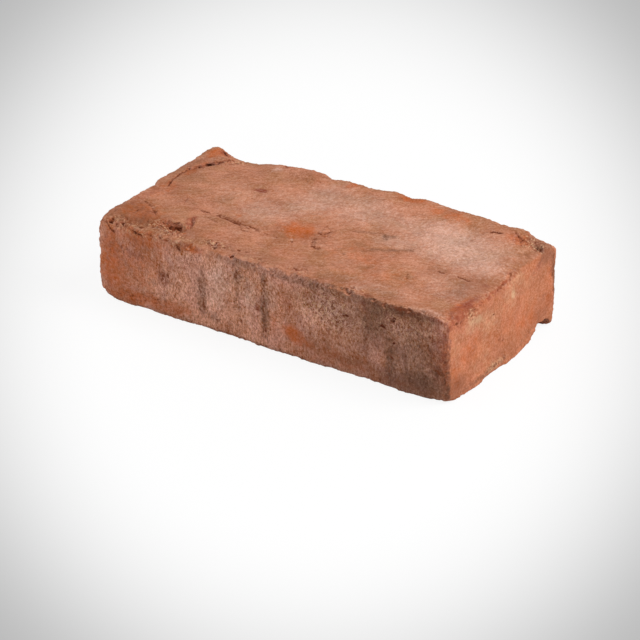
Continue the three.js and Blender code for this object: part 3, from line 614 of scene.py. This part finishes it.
class Marks:
    """Places on a mesh's points in mm, and the lines, holes and patches worked in there."""

    def __init__(self, mesh):
        self.mesh = mesh
        self.points = read_points(mesh) / MM
        self.normals = read_points(mesh, normals=True)
        warp = [fractal(self.points, 4.0, 3, 400 + 10 * axis) for axis in range(3)]
        self.wandering = self.points + np.stack([MARKS_WAVER_MM * push for push in warp], axis=1)

    def facing(self, face):
        """How squarely each point looks the way the face does, from 0 to 1."""
        axis, way, _, _ = FACES[face]
        return smooth(0.35, 0.7, way * self.normals[:, axis])

    def near(self, face, low, high):
        """The points of a face in a box of its two coordinates: their numbers and places."""
        _, _, first, second = FACES[face]
        place = self.wandering[:, [first, second]]
        inside = (place > low).all(axis=1) & (place < high).all(axis=1) & (self.facing(face) > 0)
        chosen = np.flatnonzero(inside)
        return chosen, place[chosen], self.facing(face)[chosen]

    def line(self, face, width, path):
        """The points near a line, their distance from it in widths, and their weight."""
        path = np.array(path, float)
        chosen, place, weight = self.near(face, path.min(0) - 4 * width, path.max(0) + 4 * width)
        nearest = np.full(len(chosen), np.inf)
        along = np.zeros(len(chosen))
        lengths = np.linalg.norm(np.diff(path, axis=0), axis=1)
        for i, (start, length) in enumerate(zip(path, lengths)):
            direction = (path[i + 1] - start) / length
            run = np.clip((place - start) @ direction, 0, length)
            distance = np.linalg.norm(place - start - run[:, None] * direction, axis=1)
            along = np.where(distance < nearest, lengths[:i].sum() + run, along)
            nearest = np.minimum(nearest, distance)
        share = along / lengths.sum()
        taper = smooth(-0.05, 0.2, share) * smooth(1.05, 0.8, share)
        return chosen, nearest / width, taper * weight

    def ellipse(self, face, centre, radii, turn):
        """The points near an ellipse, their distance from its centre in radii, and their weight."""
        reach = 2 * max(radii)
        centre = np.array(centre, float)
        chosen, place, weight = self.near(face, centre - reach, centre + reach)
        angle = math.radians(turn)
        ahead = np.array([math.cos(angle), math.sin(angle)])
        across = np.array([-math.sin(angle), math.cos(angle)])
        away = place - centre
        distance = np.hypot(away @ ahead / radii[0], away @ across / radii[1])
        return chosen, distance, weight

    def patches(self, wanted):
        """The patches of one kind, laid over each other: how strong they are on each point."""
        values = np.zeros(len(self.points))
        for kind, face, centre, radii, turn, strength in PATCHES:
            if kind == wanted:
                chosen, distance, weight = self.ellipse(face, centre, radii, turn)
                painted = strength * smooth(1.5, 0.3, distance) * weight
                values[chosen] = 1 - (1 - values[chosen]) * (1 - painted)
        return values

    def arris(self):
        """1 on the rolled arrises, where a point looks two ways, and 0 out on the faces."""
        second = np.sort(np.abs(self.normals), axis=1)[:, 1]
        return smooth(0.12, 0.5, second)


def work_relief(mesh):
    """Moves the mesh's points out and in by the small relief of the clay. Heights are in mm."""
    marks = Marks(mesh)
    points, top, front = marks.wandering, marks.facing("top"), marks.facing("front")
    sides, arris, crumbs = 1 - top, marks.arris(), marks.patches("crumbs")

    # slow swells, the roughness of the clay, strokes along the top, and upright drags on the front
    height = 0.22 * fractal(points, 15.0, 2, 20)
    height += (0.09 + 0.08 * sides) * fractal(points, 3.6, 3, 30)
    height += 0.07 * top * fractal(points, np.array([22.0, 5.0, 20.0]), 2, 40)
    height += 0.12 * front * fractal(points, np.array([5.0, 20.0, 30.0]), 2, 50)

    # the arrises' waver and bites, and lumps where the clay was torn
    height += 0.3 * arris * fractal(points, 6.0, 3, 60)
    height -= 0.8 * arris * smooth(0.2, 0.6, fractal(points, 7.0, 3, 65))
    height += 0.7 * marks.patches("torn") * fractal(points, 6.0, 3, 90)

    # sand grains, crumbs and pinholes
    grains = fractal(points, 2.2, 2, 68)
    height += (0.1 + 0.2 * arris) * smooth(0.1, 0.7, grains)
    height += 0.7 * crumbs * grains
    height -= (0.25 + 0.15 * sides) * smooth(0.6, 0.9, gradient_noise(points / 2.4, 70))

    for face, width, depth, _, path in LINES:
        chosen, distance, weight = marks.line(face, width, path)
        groove, rim = np.exp(-(distance**2)), np.exp(-((distance - 1.9) ** 2))
        height[chosen] -= depth * weight * (groove - 0.3 * rim)
    for face, centre, radii, turn, depth, _ in HOLES:
        chosen, distance, weight = marks.ellipse(face, centre, radii, turn)
        height[chosen] -= depth * weight * smooth(1.15, 0.5, distance)

    # the brick stays on the floor
    moved = (marks.points + height[:, None] * marks.normals) * MM
    moved[:, 2] = np.maximum(moved[:, 2], 0)
    mesh.vertices.foreach_set("co", moved.astype(np.float32).ravel())
    mesh.update()


def hollowness(mesh, rounds=12):
    """How far each point lies below its smoothed surroundings, in mm."""
    start = read_points(mesh) / MM
    edges = np.empty(len(mesh.edges) * 2, np.int32)
    mesh.edges.foreach_get("vertices", edges)
    first, second = edges.reshape(-1, 2).T
    count = np.bincount(edges, minlength=len(start))[:, None]
    points = start
    for _ in range(rounds):
        total = np.stack(
            [
                np.bincount(first, points[second, axis], len(start))
                + np.bincount(second, points[first, axis], len(start))
                for axis in range(3)
            ],
            axis=1,
        )
        points = total / count
    return ((points - start) * read_points(mesh, normals=True)).sum(axis=1)


def paint_masks(mesh):
    """Stores the masks that the material mixes its colours by, as attributes of the points."""
    marks = Marks(mesh)
    masks = {name: marks.patches(name) for name in MASKS}

    # painted shade in the marks: gaps break up faint lines, and dark ones are whole
    crevice_shade = masks["crevice_shade"]
    gaps = smooth(-0.4, 0.2, fractal(marks.points, 5.0, 2, 80))
    for face, width, _, dark, path in LINES:
        chosen, distance, weight = marks.line(face, width, path)
        whole = np.maximum(gaps[chosen], smooth(0.6, 1.0, dark))
        darkness = dark * whole * weight * np.exp(-(distance**2))
        crevice_shade[chosen] = np.maximum(crevice_shade[chosen], darkness)
    for face, centre, radii, turn, _, dark in HOLES:
        chosen, distance, weight = marks.ellipse(face, centre, radii, turn)
        crevice_shade[chosen] = np.maximum(crevice_shade[chosen], dark * weight * smooth(1.15, 0.5, distance))

    # painted shade in the hollows, but none where the brick meets the floor and less in a few deep
    # places
    above_floor = smooth(2, 8, marks.points[:, 2])
    shade_weight = above_floor * (1 - marks.patches("less_shade"))
    masks["hollow_shade"] = smooth(0.05, 0.5, hollowness(mesh)) * shade_weight
    masks["moulded"] = sum(marks.facing(face) for face in ("front", "back", "left"))
    masks["fired"] = marks.facing("right")
    for name, values in masks.items():
        attribute = mesh.attributes.new(name, "FLOAT", "POINT")
        attribute.data.foreach_set("value", values.astype(np.float32))


work_relief(skin.data)
skin.data.calc_loop_triangles()
thin_out(skin, MOST_FACES / len(skin.data.loop_triangles))
drop_slivers(skin.data)
paint_masks(skin.data)
skin.data.shade_smooth()


# --------------------------------------------------------------------------- clay


def srgb(red, green, blue):
    """A colour as a screen shows it, 0 to 255 each, in the linear values that a shader takes."""
    shown = np.array([red, green, blue]) / 255
    return (*np.where(shown < 0.04, shown / 12.92, ((shown + 0.055) / 1.055) ** 2.4), 1.0)


SALMON = srgb(190, 126, 95)
TERRACOTTA = srgb(166, 96, 62)
OCHRE = srgb(172, 120, 80)
WIPED_BROWN = srgb(150, 94, 64)
ROSE = srgb(202, 138, 114)
DUSTY = srgb(212, 160, 134)
MOULD_PINK = srgb(230, 166, 137)
MOULD_BROWN = srgb(106, 56, 34)
MAUVE = srgb(210, 152, 136)
RED_BROWN = srgb(196, 120, 86)
END_ORANGE = srgb(204, 122, 86)
ORANGE = srgb(194, 98, 46)
OVERFIRED = srgb(142, 64, 44)
SOOT_AND_SHADE = srgb(98, 70, 54)
LIME = srgb(224, 182, 164)
SAND = srgb(224, 180, 142)
SHADE_BROWN = srgb(84, 52, 36)
UMBER = srgb(120, 58, 30)
SHADOW = srgb(62, 18, 4)


class Nodes:
    """Short calls for the nodes of one material, with lengths in mm on the object."""

    def __init__(self, tree):
        self.tree = tree
        place = self.tree.nodes.new("ShaderNodeTexCoord").outputs["Object"]
        self.place = self.new("ShaderNodeMapping", {"Vector": place, "Scale": [1 / MM] * 3}).outputs[0]

    def new(self, kind, inputs, **settings):
        """A node with its settings, and its inputs linked to sockets or set to plain values."""
        node = self.tree.nodes.new(kind)
        for name, value in settings.items():
            setattr(node, name, value)
        for name, value in inputs.items():
            if isinstance(value, bpy.types.NodeSocket):
                self.tree.links.new(value, node.inputs[name])
            else:
                node.inputs[name].default_value = value
        return node

    def mask(self, name):
        return self.new("ShaderNodeAttribute", {}, attribute_name=name).outputs["Fac"]

    def maths(self, operation, first, second=0.0):
        return self.new("ShaderNodeMath", {0: first, 1: second}, operation=operation).outputs[0]

    def step(self, value, low, high, start=0.0, end=1.0):
        """start below low, end above high, and a smooth change between them."""
        ends = {"Value": value, "From Min": low, "From Max": high, "To Min": start, "To Max": end}
        made = self.new("ShaderNodeMapRange", ends, interpolation_type="SMOOTHSTEP")
        return made.outputs["Result"]

    def noise(self, size, octaves=2.0, roughness=0.5, stretch=(1, 1, 1), place=None):
        """Noise about 0.5. size is the width of its patches in mm, and stretch lengthens them."""
        scale = [1 / (size * factor) for factor in stretch]
        inputs = {"Vector": place or self.place, "Scale": scale}
        place = self.new("ShaderNodeMapping", inputs).outputs[0]
        inputs = {"Vector": place, "Scale": 1.0, "Detail": octaves, "Roughness": roughness}
        return self.new("ShaderNodeTexNoise", inputs).outputs["Fac"]

    def threads(self, size, width, place):
        """1 on thin lines that wind about some size mm apart, and 0 between them."""
        away = self.maths("SUBTRACT", self.noise(size, 2, 0.5, place=place), 0.5)
        return self.step(self.maths("ABSOLUTE", away), 0.0, width, 1, 0)

    def swirled(self, size, reach):
        """The place on the object, pushed about by up to reach mm, so that what uses it bends."""
        scaled = self.new("ShaderNodeMapping", {"Vector": self.place, "Scale": [1 / size] * 3})
        inputs = {"Vector": scaled.outputs[0], "Scale": 1.0, "Detail": 1.0}
        push = self.new("ShaderNodeTexNoise", inputs).outputs["Color"]
        centred = self.new("ShaderNodeVectorMath", {0: push, 1: [0.5] * 3}, operation="SUBTRACT")
        inputs = {0: centred.outputs[0], 1: [2 * reach] * 3, 2: self.place}
        return self.new("ShaderNodeVectorMath", inputs, operation="MULTIPLY_ADD").outputs[0]

    def grained(self, colour, broad, fine):
        """A colour times broad, and lighter or darker by a share fine, most of that as plain grey."""
        tinted = self.maths("MULTIPLY", fine, 1 - GREY_SHARE)
        factor = self.maths("MULTIPLY", broad, self.maths("ADD", tinted, 1.0))
        grey = self.new("ShaderNodeRGBToBW", {"Color": colour}).outputs[0]
        plain = self.maths("MULTIPLY", fine, GREY_SHARE)
        inputs = {0: colour, 1: factor, 2: self.maths("MULTIPLY", grey, plain)}
        made = self.new("ShaderNodeVectorMath", inputs, operation="MULTIPLY_ADD").outputs[0]
        inputs = {0: made, 1: (0, 0, 0)}
        return self.new("ShaderNodeVectorMath", inputs, operation="MAXIMUM").outputs[0]

    def paint(self, below, colour, amount):
        """A colour laid over another by an amount from 0 to 1."""
        made = self.new("ShaderNodeMix", {0: amount, 6: below, 7: colour}, data_type="RGBA")
        return made.outputs[2]


def material(name):
    """A new material with Blender's own Principled shader."""
    made = bpy.data.materials.new(name)
    made.use_nodes = True
    return made


def fired_clay():
    """The clay of the whole brick. Its amounts are shares, and its noise sizes are in mm."""
    clay = material("fired_clay")
    nodes = Nodes(clay.node_tree)
    masks = {name: nodes.mask(name) for name in MASKS}
    bent, curled = nodes.swirled(30, 9), nodes.swirled(5, 2.4)
    drift = nodes.noise(26, 4, 0.6)
    blush = nodes.noise(15, 2, 0.5, place=bent)
    mottle = nodes.noise(4.5, 3, 0.65)
    grain = nodes.noise(1.6, 2, 0.7, stretch=(1, 1.5, 1.5), place=curled)
    speckle = nodes.noise(1.3, 2, 0.7)

    # the struck faces: salmon clay, blushed with pink and with ochre, and wiped in long streaks
    struck = nodes.paint(SALMON, TERRACOTTA, nodes.step(drift, 0.42, 0.66, 0, 0.5))
    struck = nodes.paint(struck, ROSE, nodes.step(blush, 0.46, 0.66, 0, 0.3))
    struck = nodes.paint(struck, OCHRE, nodes.step(blush, 0.34, 0.54, 0.35, 0))
    struck = nodes.paint(struck, DUSTY, nodes.step(grain, 0.34, 0.5, 0.2, 0))
    struck = nodes.paint(struck, UMBER, nodes.step(speckle, 0.62, 0.74, 0, 0.2))
    turned = {"Vector": bent, "Rotation": (0, 0, -math.radians(WIPING_ANGLE))}
    wiped = nodes.new("ShaderNodeMapping", turned).outputs[0]
    streaks = nodes.noise(1.6, 3, 0.65, stretch=(8, 1, 1), place=wiped)
    struck = nodes.paint(struck, WIPED_BROWN, nodes.step(streaks, 0.5, 0.68, 0, 0.45))
    struck = nodes.paint(struck, DUSTY, nodes.step(streaks, 0.32, 0.48, 0.35, 0))
    struck = nodes.paint(struck, END_ORANGE, nodes.maths("MULTIPLY", masks["fired"], 0.55))

    # the moulded faces: sandy, from mauve to red brown, with curled fibres and upright drags
    drags = nodes.noise(4.0, 3, 0.65, stretch=(1, 1, 2.4))
    cast = nodes.paint(MOULD_PINK, TERRACOTTA, nodes.step(drift, 0.36, 0.62, 0, 0.6))
    cast = nodes.paint(cast, MAUVE, nodes.step(blush, 0.44, 0.62, 0, 0.5))
    cast = nodes.paint(cast, RED_BROWN, nodes.step(blush, 0.36, 0.5, 0.35, 0))
    cast = nodes.paint(cast, MOULD_BROWN, nodes.step(drags, 0.5, 0.7, 0, 0.2))
    cast = nodes.paint(cast, DUSTY, nodes.step(grain, 0.3, 0.5, 0.36, 0))
    cast = nodes.paint(cast, MOULD_BROWN, nodes.step(grain, 0.5, 0.7, 0, 0.38))
    colour = nodes.paint(struck, cast, masks["moulded"])

    # the fire's colours, the bloom and the soot, with some painted shade and a painted highlight among
    # them, each broken up by the grain
    edge = nodes.step(mottle, 0.3, 0.7, -0.25, 0.25)
    fine_edge = nodes.step(grain, 0.3, 0.7, -0.2, 0.2)
    burnt = nodes.step(nodes.maths("ADD", masks["burnt"], edge), 0.05, 1.15, 0, 0.9)
    colour = nodes.paint(colour, ORANGE, burnt)
    red = nodes.step(nodes.maths("SUBTRACT", masks["red"], edge), 0.1, 1.1, 0, 0.85)
    colour = nodes.paint(colour, OVERFIRED, red)
    veil = nodes.maths("SUBTRACT", masks["bloom_and_highlight"], fine_edge)
    pale = nodes.paint(LIME, SAND, masks["fired"])
    colour = nodes.paint(colour, pale, nodes.step(veil, 0.0, 1.3, 0, 0.9))
    soot_and_shade_cover = nodes.maths("ADD", masks["soot_and_shade"], fine_edge)
    colour = nodes.paint(colour, SOOT_AND_SHADE, nodes.step(soot_and_shade_cover, 0.05, 1.3, 0, 0.9))

    # lighter and darker all over, from patches down to single grains
    broad = nodes.step(nodes.noise(16, 3, 0.7, place=bent), 0.3, 0.7, 0.88, 1.12)
    fine = nodes.step(nodes.noise(1.2, 2, 0.9), 0.3, 0.7, -0.22, 0.22)
    upright = nodes.step(nodes.noise(0.9, 2, 0.9, stretch=(1, 1, 2.6)), 0.3, 0.7, -0.38, 0.38)
    calm = nodes.step(nodes.maths("SUBTRACT", masks["bloom_and_highlight"], masks["moulded"]), 0, 1, 1, 0.5)
    fine = nodes.maths("MULTIPLY", fine, calm)
    sandy = nodes.step(nodes.maths("SUBTRACT", masks["moulded"], masks["burnt"]), 0, 1)
    fine = nodes.maths("ADD", fine, nodes.maths("MULTIPLY", upright, sandy))
    fibres = nodes.step(nodes.threads(2.6, 0.08, curled), 0, 1, -0.14, 0.26)
    veins = nodes.maths("ADD", masks["veins"], nodes.maths("MULTIPLY", masks["moulded"], 0.25))
    fine = nodes.maths("ADD", fine, nodes.maths("MULTIPLY", fibres, veins))
    colour = nodes.grained(colour, broad, fine)
    # painted shade: plain darker patches
    colour = nodes.paint(colour, SHADE_BROWN, nodes.step(masks["painted_shade"], 0, 1, 0, 0.85))

    # sand: curled veins where it was dragged, and loose grains where the clay crumbled
    for colour_of_vein, size, strength in ((MOULD_BROWN, 5.0, 0.6), (SAND, 3.4, 0.5)):
        vein = nodes.maths("MULTIPLY", nodes.threads(size, 0.035, curled), veins)
        colour = nodes.paint(colour, colour_of_vein, nodes.maths("MULTIPLY", vein, strength))
    loose = nodes.maths("MULTIPLY", masks["crumbs"], nodes.step(speckle, 0.54, 0.66, 0, 0.9))
    colour = nodes.paint(colour, SAND, loose)
    between = nodes.maths("MULTIPLY", masks["crumbs"], nodes.step(speckle, 0.36, 0.47, 0.7, 0))
    colour = nodes.paint(colour, UMBER, between)

    # painted shade in the cracks, holes and hollows: brown, near black in the deepest, and broken at
    # the edges
    broken = nodes.step(speckle, 0.3, 0.7, -0.3, 0.3)
    crack = nodes.maths("ADD", masks["crevice_shade"], broken)
    colour = nodes.paint(colour, UMBER, nodes.step(crack, 0.2, 0.8, 0, 0.8))
    colour = nodes.paint(colour, SHADOW, nodes.step(crack, 0.7, 1.2, 0, 0.9))
    dip = nodes.maths("ADD", masks["hollow_shade"], broken)
    colour = nodes.paint(colour, UMBER, nodes.step(dip, 0.2, 1.0, 0, 0.7))
    colour = nodes.paint(colour, SHADOW, nodes.step(dip, 0.8, 1.3, 0, 0.9))

    shader = clay.node_tree.nodes["Principled BSDF"]
    clay.node_tree.links.new(colour, shader.inputs["Base Color"])
    shader.inputs["Roughness"].default_value = 0.95
    shader.inputs["Specular IOR Level"].default_value = 0.2
    grit = nodes.noise(0.9, 4, 0.75)
    bump = nodes.new("ShaderNodeBump", {"Height": grit, "Strength": 0.8, "Distance": 0.5 * MM})
    clay.node_tree.links.new(bump.outputs["Normal"], shader.inputs["Normal"])
    return clay


# --------------------------------------------------------------------------- floor, light, camera


def make_floor():
    """A matt floor, white in a pool around the brick and greyer further out."""
    mesh = bpy.data.meshes.new("floor")
    corners = [(x * FLOOR_HALF, y * FLOOR_HALF, 0) for x, y in ((-1, -1), (1, -1), (1, 1), (-1, 1))]
    mesh.from_pydata(corners, [], [(0, 1, 2, 3)])
    floor = new_object("floor", mesh)
    paint = material("floor_paint")
    nodes = Nodes(paint.node_tree)
    shader = paint.node_tree.nodes["Principled BSDF"]
    shader.inputs["Roughness"].default_value = 0.9
    shader.inputs["Specular IOR Level"].default_value = 0.2

    # the pool is where a cone from the camera's place meets the floor
    inputs = {0: nodes.place, 1: CAMERA_PLACE_MM}
    reach = nodes.new("ShaderNodeVectorMath", inputs, operation="SUBTRACT").outputs[0]
    reach = nodes.new("ShaderNodeVectorMath", {0: reach}, operation="NORMALIZE").outputs[0]
    inputs = {0: reach, 1: -TOWARDS_CAMERA}
    cosine = nodes.new("ShaderNodeVectorMath", inputs, operation="DOT_PRODUCT").outputs["Value"]
    edge, centre = (math.cos(math.radians(angle)) for angle in GLOW_CONE)
    glow = nodes.step(cosine, edge, centre, GREY, 1.0)
    white = nodes.new("ShaderNodeCombineColor", {"Red": glow, "Green": glow, "Blue": glow}).outputs[0]

    # the camera sees it white, and its light on the brick is that of a pale floor
    rays = nodes.new("ShaderNodeLightPath", {}).outputs
    mirrored = nodes.maths("MAXIMUM", rays["Is Glossy Ray"], rays["Is Transmission Ray"])
    seen = nodes.maths("MAXIMUM", rays["Is Camera Ray"], mirrored)
    paint.node_tree.links.new(nodes.paint(FLOOR_GREY, white, seen), shader.inputs["Base Color"])
    lit = nodes.new("ShaderNodeEmission", {"Color": white, "Strength": 1.0}).outputs[0]
    share = nodes.maths("MULTIPLY", seen, FLOOR_GLOW)
    surface = nodes.new("ShaderNodeMixShader", {0: share, 1: shader.outputs[0], 2: lit}).outputs[0]
    paint.node_tree.links.new(surface, paint.node_tree.nodes["Material Output"].inputs["Surface"])
    mesh.materials.append(paint)


def area_light(name, place, size, power):
    data = bpy.data.lights.new(name, "AREA")
    data.size = size
    data.energy = power
    lamp = new_object(name, data)
    lamp.location = place
    lamp.rotation_euler = (-Vector(place)).to_track_quat("-Z", "Y").to_euler()


def make_light():
    world = bpy.data.worlds.new("studio")
    bpy.context.scene.world = world
    world.use_nodes = True
    background = world.node_tree.nodes["Background"]
    background.inputs["Color"].default_value = (1, 1, 1, 1)
    background.inputs["Strength"].default_value = GREY
    for lamp in LAMPS:
        area_light(*lamp)


def make_camera():
    data = bpy.data.cameras.new("camera")
    data.lens = CAMERA_LENS
    camera = new_object("camera", data)
    camera.location = CAMERA_PLACE_MM * MM
    camera.rotation_euler = TOWARDS_CAMERA.to_track_quat("Z", "Y").to_euler()
    bpy.context.scene.camera = camera


make_floor()
make_light()
make_camera()
bpy.context.scene.view_settings.view_transform = "Standard"

skin.data.materials.append(fired_clay())

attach(skin, "root")
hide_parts("brick")
